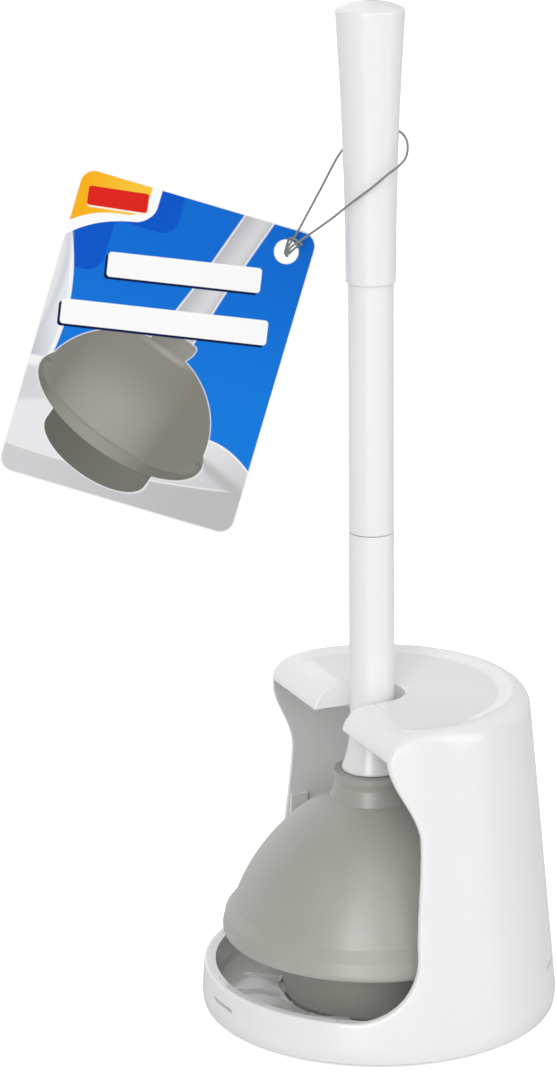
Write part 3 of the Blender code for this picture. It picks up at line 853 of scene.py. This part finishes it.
def tray_field(x, y, z):
    r = np.hypot(x, y)
    step = (DECK_Z - TRAY_FLOOR_Z) * np.clip((r - WELL_R) / 1.2, 0, 1)
    floor = meet(np.maximum(z - TRAY_FLOOR_Z - step, TRAY_UNDER_Z - z), r - TRAY_OUT_R, 0.5)
    wall = np.abs(r - (TRAY_IN_R + TRAY_OUT_R) / 2) - (TRAY_OUT_R - TRAY_IN_R) / 2
    wall = meet(wall, z - TRAY_TOP_Z, 0.7)
    wall = np.maximum(wall, TRAY_UNDER_Z - z)
    tray = join(floor, wall, 3.5)

    turn = np.degrees(np.arctan2(y, x)) - RIB_START_DEG
    past, crest = np.array(RIB_CREST).T
    reach = np.abs(r - WELL_R - 8.4) - 9.6

    def off_rib(count):
        pitch = 360 / count
        return (turn + pitch / 2) % pitch - pitch / 2

    low_rib = np.abs(np.radians(off_rib(RIB_COUNT)) * r) - RIB_THICK / 2
    low_rib = np.maximum(meet(z - LOW_CREST, low_rib, RIB_THICK * 0.45), reach)
    tray = join(tray, np.maximum(low_rib, TRAY_UNDER_Z + 0.8 - z), 1.3)
    away = off_rib(RIB_COUNT // TALL_EVERY)
    tall = np.maximum(np.abs(np.radians(away) * r) - RIB_THICK / 2, reach)
    dam = np.abs(r - DAM_R) - DAM_THICK / 2
    fall = np.clip(1 - np.abs(away) / DAM_FALL_DEG, 0, 1)
    height = np.interp(r - WELL_R, past, crest)
    height = DECK_Z - 0.3 + (height - DECK_Z + 0.3) * fall * fall * (3 - 2 * fall)
    wave = meet(z - height, join(tall, dam, 7.0), RIB_THICK * 0.45)
    tray = join(tray, np.maximum(wave, TRAY_UNDER_Z + 0.8 - z), 1.8)

    for middle in ARMS_DEG:
        turn = math.radians(middle)
        across = np.abs(y * math.cos(turn) - x * math.sin(turn))
        along = x * math.cos(turn) + y * math.sin(turn)
        face = side(r, z, WALL + 0.4 + ARM_THICK / 2)
        face = np.maximum(face, r - TRAY_OUT_R + ARM_THICK / 2)
        half = r * math.radians(ARM_WIDE_DEG) / 2
        arm = meet(np.abs(face) - ARM_THICK / 2, across - half, 0.5)
        arm = meet(arm, z - ARM_TOP_Z, 0.5)
        arm = np.maximum(np.maximum(arm, -along), 12 - z)
        tray = join(tray, arm, 0.3)
    return tray


def caddy_tray(mat):
    low, high = box_mm("base_tray")
    cell = 0.95
    reach = Vector((2, 2, 2))
    finer = 1
    obj = carved("tray_moulding", tray_field, low - reach, high + reach, cell, finer, 24)
    return dress(obj, "holder", mat, "tray_plastic", "base_tray")


def lugs(mat):
    """The tray's snap lugs, seen in the shell's windows."""
    for number, (degrees, height, width, tall) in enumerate(WINDOWS):
        turn = math.radians(degrees)

        def lug(x, y, z):
            r = np.hypot(x, y)
            across = np.abs(y * math.cos(turn) - x * math.sin(turn)) - width / 2 + 1.0
            along = x * math.cos(turn) + y * math.sin(turn)
            slope = (r - TRAY_OUT_R - 2.0) + (height - z) * 0.15
            body = meet(np.maximum(slope, TRAY_IN_R + 0.3 - r), across, 0.5)
            return np.maximum(meet(body, np.abs(z - height) - tall / 2 + 0.3, 0.3), -along)

        middle = Vector((TRAY_OUT_R * math.cos(turn), TRAY_OUT_R * math.sin(turn), height))
        reach = Vector((13, 13, 3.5))
        obj = carved(f"snap_lug_{number + 1}", lug, middle - reach, middle + reach, 0.5, 0)
        dress(obj, "holder", mat, "tray_plastic")


def pads(mat):
    for number in range(1, 5):
        low, high = box_mm(f"foot_pad_{number}")
        middle = (low + high) / 2
        r = (high.x - low.x) / 2
        profile = rounded([(0, low.z), (r, low.z, 0.35), (r, high.z, 0.35), (0, high.z)])
        obj = turned(f"pad_{number}", profile, 48, middle.y, middle.x)
        dress(obj, "holder", mat, "pad_rubber", f"foot_pad_{number}")


# ---------------------------------------------------------------- handle

BORE_GAP = 0.3
GRIP_FOOT_Z = box_mm("grip")[0].z
GRIP_TOP_Z = box_mm("grip")[1].z
GRIP_EDGE_Z = 464.6
GRIP_FOOT_R = 11.35
GRIP_FLARE = 4.05
GRIP_CROWN = 3.6  # how far the top is crowned
GRIP_BORE_TOP_Z = 395.0
UPPER_R = radius_of("upper_shaft")
LOWER_R = 10.35
SHAFT_IN_R = 8.75
FLARE_RISE = 25.0
FLARE_R = radius_of("lower_shaft")


def handle(mat):
    edge = GRIP_FOOT_R + GRIP_FLARE
    bore = UPPER_R + BORE_GAP
    side_line = []
    for i in range(25):
        t = i / 25
        up = GRIP_FOOT_Z + (GRIP_EDGE_Z - GRIP_FOOT_Z) * t
        side_line.append((GRIP_FOOT_R + GRIP_FLARE * t * t, up))
    crown = []
    for r in (13.2, 11.5, 9.5, 7.5, 5.5, 3.5, 1.7, 0):
        crown.append((r, GRIP_TOP_Z - GRIP_CROWN * (r / edge) ** 2))
    profile = [(0, 452), (bore - 1.2, 452, 3), (bore - 1.2, GRIP_BORE_TOP_Z + 1.2, 0.5)]
    profile += [(bore, GRIP_BORE_TOP_Z, 0.3), (bore, GRIP_FOOT_Z, 0.25)]
    profile += [(GRIP_FOOT_R, GRIP_FOOT_Z, 0.35)]
    profile += side_line[1:] + [(edge, GRIP_TOP_Z - GRIP_CROWN, 1.7)] + crown
    dress(turned("grip_sleeve", rounded(profile, 8)), "plunger", mat, "handle_plastic", "grip")

    low, high = box_mm("upper_shaft")
    profile = [(SHAFT_IN_R, high.z, 0.3), (UPPER_R, high.z, 0.3)]
    profile += [(UPPER_R, low.z, 0.3), (SHAFT_IN_R, low.z, 0.3)]
    dress(turned("shaft_upper", rounded(profile), 128), "plunger", mat, "handle_plastic", "upper_shaft")

    low, high = box_mm("lower_shaft")
    profile = [(SHAFT_IN_R, high.z, 0.3), (LOWER_R, high.z, 0.3)]
    for i in range(29):
        t = i / 28
        swell = (FLARE_R - LOWER_R) * t**2.6
        profile.append((LOWER_R + swell, low.z + FLARE_RISE * (1 - t) + 0.9 * t))
    profile += [(FLARE_R - 0.3, low.z, 0.25), (SHAFT_IN_R, low.z, 0.3)]
    dress(turned("shaft_lower", rounded(profile), 128), "plunger", mat, "handle_plastic", "lower_shaft")


# ---------------------------------------------------------------- rubber cup

NECK_TOP_R = radius_of("cup_neck")
NECK_R = 17.35
NECK_FOOT_R = 20.0
NECK_BORE_R = 9.9
DOME_A = 67.8
DOME_B = 72.4
DOME_POWER = 1.64
DOME_MID_Z = 35.5
DOME_WALL = 2.4
DOME_FOOT_Z = 49.0
CUP_FIXED_Z = 103.0
RIM_R = radius_of("cup_rim")
WEB_R = 42.6
# The bead's convex edge, where it catches the light
BEAD_EDGE_R = 69.1
BEAD_EDGE_Z = 44.6
FLANGE_R = 42.2
FLANGE_WALL = 3.2
SQUEEZE = next(j for j in frame["record"]["behaviour"]["joints"] if j["name"] == "cup_squeeze")


def dome_height(r, inset=0.0):
    out = (r / (DOME_A - inset)) ** DOME_POWER
    return DOME_MID_Z + (DOME_B - inset) * (1 - out) ** (1 / DOME_POWER)


def dome_arc(inset, start_r, count):
    """Points down the dome's superellipse from a radius to its foot."""
    a, b = DOME_A - inset, DOME_B - inset
    power = 2 / DOME_POWER
    start = math.acos((start_r / a) ** (1 / power))
    end = math.asin(((DOME_FOOT_Z - DOME_MID_Z) / b) ** (1 / power))
    turns = [start + (end - start) * i / (count - 1) for i in range(count)]
    return [(a * math.cos(t) ** power, DOME_MID_Z + b * math.sin(t) ** power) for t in turns]


def cup(mat):
    low, high = box_mm("cup_neck")
    profile = [(0, low.z + 3), (NECK_BORE_R, low.z + 3, 1), (NECK_BORE_R, high.z, 0.4)]
    profile += [(NECK_TOP_R, high.z, 1.1), (NECK_TOP_R - 0.2, high.z - 3.0, 1.5)]
    profile += [(NECK_R, high.z - 6.0, 2)]
    profile += [(NECK_R + 1.1, 105.0, 1.5), (NECK_FOOT_R, dome_height(NECK_FOOT_R) - 0.1, 0.2)]
    profile += [(NECK_FOOT_R - 0.6, 100.6, 0.2), (NECK_R - 0.8, low.z, 1), (0, low.z)]
    dress(turned("cup_collar", rounded(profile, 8)), "plunger", mat, "cup_rubber", "cup_neck")

    inner_r = NECK_R - 0.3
    profile = dome_arc(0, inner_r, 52)
    profile += dome_arc(DOME_WALL, 19, 40)[::-1] + [(inner_r, dome_height(19, DOME_WALL), 0.3)]
    dome = dress(turned("cup_bowl", rounded(profile, 10), 192), "plunger", mat, "cup_rubber", "cup_dome")
    tall = (CUP_FIXED_Z - DOME_FOOT_Z) * MM
    keep = 1 - SQUEEZE["range_m"][1] / tall
    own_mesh(dome)

    low, high = box_mm("cup_rim")
    foot_r, foot_in_r = dome_arc(0, 30, 2)[1][0], dome_arc(DOME_WALL, 30, 2)[1][0]
    profile = [(foot_r - 1.9, 51.4, 0.1), (foot_r - 0.3, 50.0, 4)]
    profile += [(foot_r + 1.0, 48.2, 6), (BEAD_EDGE_R, BEAD_EDGE_Z, 1.4)]
    profile += [(RIM_R, 39.0, 6), (RIM_R - 0.1, low.z + 0.1, 1.3), (65, low.z + 0.1, 3), (58, 36.9, 6)]
    profile += [(WEB_R, 37.4, 0.5), (WEB_R, 40.4, 0.5), (57, 40.4, 3), (60, 42.4, 3)]
    profile += [(foot_in_r + 0.3, high.z, 0.2)]
    dress(turned("cup_bead", rounded(profile, 8), 192), "cup_mouth", mat, "cup_rubber", "cup_rim")

    low, high = box_mm("cup_flange")
    inner = FLANGE_R - FLANGE_WALL
    foot_z = low.z + 0.2
    profile = [(inner, high.z, 0.5), (FLANGE_R, high.z, 0.3)]
    profile += [(FLANGE_R, foot_z, 2.4), (inner, foot_z, 0.6)]
    dress(turned("cup_skirt", rounded(profile, 8)), "flange", mat, "cup_rubber", "cup_flange")


# ---------------------------------------------------------------- tag and string

# The card faces FACING_DEG, leans back and is turned in its own plane
FACING_DEG = 66.7
TAG_LEAN_DEG = 10.9
TAG_TURN_DEG = 17.1
TAG_WIDE = 110.0
TAG_TALL = 141.0
TAG_THICK = 0.8
TAG_CORNER = 7.0
HOLE_R = 5.1
HOLE_X = 42.6
HOLE_Y = 59.4
STRING_R = 0.55

# The string's route: sideways, towards FACING, height, in millimetres. It leaves the card's hole,
# passes behind the grip, comes round its right side and crosses in front of it back to the hole.
STRING_ROUTE = [
    (-37.7, -9.9, 354.9),
    (-37.4, -8.4, 357.0),
    (-36.9, -6.6, 359.6),
    (-35.1, -5.2, 362.6),
    (-32.9, -5.0, 366.0),
    (-27.0, -5.2, 376.8),
    (-21.0, -6.2, 387.8),
    (-16.6, -8.2, 395.8),
    (-13.0, -10.6, 401.4),
    (-8.0, -13.4, 405.8),
    (-1.5, -14.6, 409.2),
    (6.0, -13.4, 411.2),
    (11.6, -10.0, 411.4),
    (15.2, -5.0, 409.4),
    (16.4, 0.6, 406.2),
    (15.4, 6.6, 402.2),
    (12.2, 11.0, 399.2),
    (7.0, 13.8, 395.8),
    (0.2, 14.2, 390.2),
    (-8.4, 12.2, 383.4),
    (-17.6, 7.0, 375.0),
    (-26.6, 0.6, 367.2),
    (-33.6, -4.4, 361.4),
    (-35.8, -6.4, 359.2),
    (-36.7, -8.2, 356.7),
    (-37.1, -9.7, 354.6),
]
# The string's bight: out of the back of the hole, over the card's corner and round both strands
BIGHT_ROUTE = [
    (-38.3, -9.8, 355.6),
    (-37.6, -9.6, 359.0),
    (-36.4, -8.0, 362.6),
    (-35.2, -5.2, 364.0),
    (-33.4, -3.6, 363.6),
    (-31.8, -3.4, 362.4),
    (-30.6, -4.6, 361.2),
    (-31.0, -7.2, 360.6),
    (-33.6, -9.0, 358.6),
    (-36.4, -9.8, 355.9),
]


def facing_point(u, d, z):
    """A place given sideways, towards FACING and up, from the plunger's axis."""
    turn = math.radians(FACING_DEG)
    across = Vector((math.cos(turn), math.sin(turn), 0))
    towards = Vector((math.sin(turn), -math.cos(turn), 0))
    return Vector((0, AXIS_Y, z)) + across * u + towards * d


def card_place():
    """The card's own frame: x along its top edge, y up it and z out of its front."""
    turn = math.radians(FACING_DEG)
    across = Vector((math.cos(turn), math.sin(turn), 0))
    towards = Vector((math.sin(turn), -math.cos(turn), 0))
    lean = math.radians(TAG_LEAN_DEG)
    up = math.cos(lean) * Vector((0, 0, 1)) - math.sin(lean) * towards
    stand = Matrix((across, up, across.cross(up))).transposed().to_4x4()
    low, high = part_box("hang_tag")
    spin = Matrix.Rotation(math.radians(-TAG_TURN_DEG), 4, "Z")
    return Matrix.Translation((low + high) / 2) @ stand @ spin


def smooth_route(points, per_span):
    """A Catmull-Rom curve through the points."""
    ends = [points[0] * 2 - points[1]] + points + [points[-1] * 2 - points[-2]]
    out = []
    for a, b, c, d in zip(ends, ends[1:], ends[2:], ends[3:]):
        for k in range(per_span):
            t = k / per_span
            square = (2 * a - 5 * b + 4 * c - d) * t**2
            out.append(0.5 * (2 * b + (c - a) * t + square + (3 * b - 3 * c + d - a) * t**3))
    return out + [points[-1]]


def twisted(name, line, strands=3, turn_mm=3.2, sides=24):
    """A twisted string along a line in millimetres: a round tube grooved between its strands."""
    points = np.array([tuple(p) for p in line])
    ahead = np.gradient(points, axis=0)
    ahead /= np.linalg.norm(ahead, axis=1)[:, None]
    gone = np.concatenate([[0], np.cumsum(np.linalg.norm(np.diff(points, axis=0), axis=1))])
    across = np.cross(ahead[0], (0.3, 0.2, 1.0))
    verts, faces = [], []
    for p, t, s in zip(points, ahead, gone):
        across = across - t * (across @ t)
        across /= np.linalg.norm(across)
        over = np.cross(t, across)
        for k in range(sides):
            a = 2 * math.pi * k / sides
            lobe = abs(math.cos((a * strands - 2 * math.pi * s / turn_mm * strands) / 2))
            r = STRING_R * (0.78 + 0.22 * lobe**0.7)
            verts.append(p + r * (across * math.cos(a) + over * math.sin(a)))
    count = len(points)
    for i in range(count - 1):
        for k in range(sides):
            n = (k + 1) % sides
            faces.append((i * sides + k, i * sides + n, (i + 1) * sides + n, (i + 1) * sides + k))
    faces.append(tuple(range(sides))[::-1])
    faces.append(tuple((count - 1) * sides + k for k in range(sides)))
    return new_object(name, verts, faces)


def even_line(line, gap):
    """The same line with its points this far apart."""
    points = np.array([tuple(p) for p in line])
    gone = np.concatenate([[0], np.cumsum(np.linalg.norm(np.diff(points, axis=0), axis=1))])
    at = np.linspace(0, gone[-1], max(4, round(gone[-1] / gap) + 1))
    return np.stack([np.interp(at, gone, points[:, i]) for i in range(3)], 1)


def tag_string(mat):
    line = even_line(smooth_route([facing_point(*p) for p in STRING_ROUTE], 24), 0.4)
    string = dress(twisted("string_line", line), "string", mat, "tag_string", "tag_string")
    bight_line = even_line(smooth_route([facing_point(*p) for p in BIGHT_ROUTE], 24), 0.4)
    bight = dress(twisted("string_bight", bight_line), "tag", mat, "tag_string")
    length = float(np.linalg.norm(np.diff(line, axis=0), axis=1).sum()) * MM
    tuple(facing_point(*STRING_ROUTE[1]) * MM)
    return length


def card_outline():
    out = []
    for sx, sy, start in ((1, 1, 0), (-1, 1, 90), (-1, -1, 180), (1, -1, 270)):
        for k in range(11):
            a = math.radians(start + 9 * k)
            x = sx * (TAG_WIDE / 2 - TAG_CORNER) + TAG_CORNER * math.cos(a)
            y = sy * (TAG_TALL / 2 - TAG_CORNER) + TAG_CORNER * math.sin(a)
            out.append((x, y, math.cos(a), math.sin(a)))
    return out


def tag_card(mat):
    """The card: a thin plate with rounded edges and a punched hole."""
    edge = 0.18
    hole = []
    for k in range(48):
        a = -2 * math.pi * k / 48
        hole.append((HOLE_X + HOLE_R * math.cos(a), HOLE_Y + HOLE_R * math.sin(a), -math.cos(a), -math.sin(a)))
    rows = []
    for sign in (1, -1):
        turns = (90, 60, 30, 0) if sign > 0 else (0, -30, -60, -90)
        rows += [(math.radians(t), sign * (TAG_THICK / 2 - edge)) for t in turns]
    verts, normals, faces, caps = [], [], [], ([], [])
    for loop in (card_outline(), hole):
        first, count = len(verts), len(loop)
        for turn, middle in rows:
            for x, y, nx, ny in loop:
                inset = edge * (1 - math.cos(turn))
                verts.append((x - nx * inset, y - ny * inset, middle + edge * math.sin(turn)))
                normals.append((nx * math.cos(turn), ny * math.cos(turn), math.sin(turn)))
        for i in range(len(rows) - 1):
            for k in range(count):
                n = (k + 1) % count
                a, b = first + i * count, first + (i + 1) * count
                faces.append((a + k, b + k, b + n, a + n))
        caps[0].append((first, count))
        caps[1].append((first + (len(rows) - 1) * count, count))
    for cap, up in zip(caps, (1, -1)):
        faces += filled(verts, cap, up)
    obj = new_object("tag_card", verts, faces, normals)
    obj.matrix_world = card_place()
    return dress(obj, "tag", mat, "tag_card", "hang_tag")


def filled(verts, loops, up):
    """Triangles that fill the space between flat loops of vertices, facing up or down."""
    bm = bmesh.new()
    edges = []
    made = {}
    for first, count in loops:
        ring = [bm.verts.new(verts[first + k]) for k in range(count)]
        made.update({v: first + k for k, v in enumerate(ring)})
        edges += [bm.edges.new((ring[k], ring[(k + 1) % count])) for k in range(count)]
    bmesh.ops.triangle_fill(bm, use_beauty=True, edges=edges)
    out = []
    for face in bm.faces:
        face.normal_update()
        ids = [made[v] for v in face.verts]
        out.append(ids if face.normal.z * up > 0 else ids[::-1])
    bm.free()
    return out


# ---------------------------------------------------------------- room


def floor(mat):
    mesh = bpy.data.meshes.new("floor")
    mesh.from_pydata([(-6, -6, 0), (6, -6, 0), (6, 6, 0), (-6, 6, 0)], [], [(0, 1, 2, 3)])
    obj = bpy.data.objects.new("floor", mesh)
    bpy.context.collection.objects.link(obj)
    mesh.materials.append(mat)


# Soft boxes round the object: from and to, in degrees to the camera's right, low, high and power
LIGHT_PANELS = (
    (-180, -120, -2, 58, 0.77),
    (-120, -70, -2, 58, 0.15),
    (-70, -28, -2, 58, 0.18),
    (-26, -6, -2, 58, 2.0),
    (-26, -6, 4, 34, 1.8),
    (-5, 25, -2, 58, 1.02),
    (56, 81, -2, 58, 1.69),
    (118, 180, -2, 58, 0.41),
)


def sky():
    """A white studio, seen by its glow from each side; the camera itself sees plain white."""
    world = bpy.data.worlds.new("room")
    bpy.context.scene.world = world
    world.use_nodes = True
    s = Shader.__new__(Shader)
    s.tree = world.node_tree
    parts = s.node("ShaderNodeSeparateXYZ")
    s.feed(parts.inputs[0], s.node("ShaderNodeTexCoord").outputs["Generated"])
    x, y, z = [Number(s, parts.outputs[i]) for i in range(3)]
    heading = math.radians(CAMERA_HEADING_DEG)
    right = x * math.cos(heading) + y * math.sin(heading)
    front = x * math.sin(heading) - y * math.cos(heading)
    turn = right.math("ARCTAN2", front) * (180 / math.pi)
    height = z.math("ARCSINE") * (180 / math.pi)

    def panel(left, end, low, high, soft):
        across = turn.step(left - soft, left) * (turn.step(end, end + soft) * -1 + 1)
        return across * height.step(low - 12, low) * (height.step(high, high + 12) * -1 + 1)

    glow = height.step(25, 75) * 0.1 + (height.step(0, -12) * 0.14 + 0.29)
    for left, end, low, high, power in LIGHT_PANELS:
        glow = glow + panel(left, end, low, high, 3) * power
    ground = s.tree.nodes["Background"]
    ground.inputs["Strength"].default_value = 1.0
    s.feed(ground.inputs["Color"], glow)
    behind = s.node("ShaderNodeBackground")
    behind.inputs["Color"].default_value = (1, 1, 1, 1)
    ray = s.node("ShaderNodeLightPath")
    blend = s.node("ShaderNodeMixShader")
    s.feed(blend.inputs[0], ray.outputs["Is Camera Ray"])
    s.feed(blend.inputs[1], ground.outputs[0])
    s.feed(blend.inputs[2], behind.outputs[0])
    s.feed(s.tree.nodes["World Output"].inputs["Surface"], blend.outputs[0])


def main():
    bpy.context.scene.view_settings.view_transform = "Standard"
    make_camera()
    tag_string(twine("twine"))

    white = (0.885, 0.885, 0.883)
    shell_white = gloss_plastic("caddy_white", white, 0.11)
    tray_white = gloss_plastic("tray_white", (0.87, 0.87, 0.865), 0.16)
    handle_white = gloss_plastic("handle_white", (0.875, 0.875, 0.873), 0.10)
    rubber = satin_rubber("grey_rubber", (0.375, 0.375, 0.345))
    caddy_shell(shell_white)
    caddy_tray(tray_white)
    lugs(tray_white)
    pads(pad_foam("pad_foam"))
    handle(handle_white)
    cup(rubber)
    tag_card(printed_card("printed_card"))
    coupler = plain_plastic("coupler_grey", (0.55, 0.55, 0.55))
    for node in ("shaft_coupler", "cup_plug"):
        mesh = bpy.data.objects[node].data
        mesh.materials.clear()
        mesh.materials.append(coupler)

    floor(floor_white("floor_white"))
    sky()


main()
